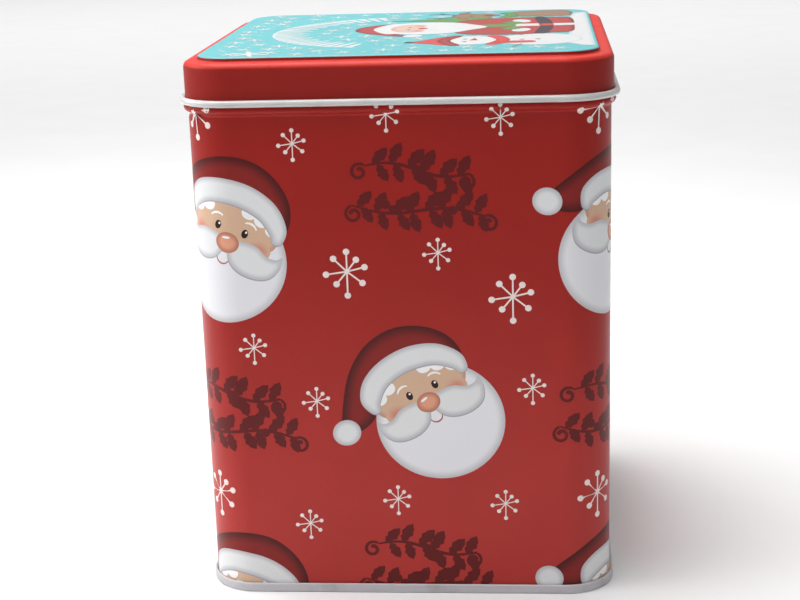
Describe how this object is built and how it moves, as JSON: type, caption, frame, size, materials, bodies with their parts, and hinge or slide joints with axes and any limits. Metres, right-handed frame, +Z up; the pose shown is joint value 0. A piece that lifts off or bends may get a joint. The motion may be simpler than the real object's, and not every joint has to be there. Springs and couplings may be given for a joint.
{
  "type": "square slip-lid tin",
  "caption": "Tall square tinplate cookie tin with a lift-off lid, a curled rim, a stop bead and a double-seamed recessed base.",
  "frame": {"origin": "centre of the footprint, on the plane that the tin stands on", "axes": "+Z up through the lid, -Y towards the front face, +X to the right of someone facing the front; the side seam is in the +Y wall"},
  "size_m": [0.1248, 0.1248, 0.16],
  "materials": {
    "printed_wall": "satin lacquer over print",
    "white_base": "satin white enamel",
    "printed_lid": "satin lacquer over print"
  },
  "bodies": {
    "tin": {"body_wrap": "printed_wall", "base_panel": "white_base"},
    "lid": {"lid": "printed_lid"}
  },
  "joints": [
    {"name": "lid_lift", "type": "slide", "parent": "tin", "child": "lid", "axis": [0, 0, 1], "range_m": [0, 0.07]}
  ]
}
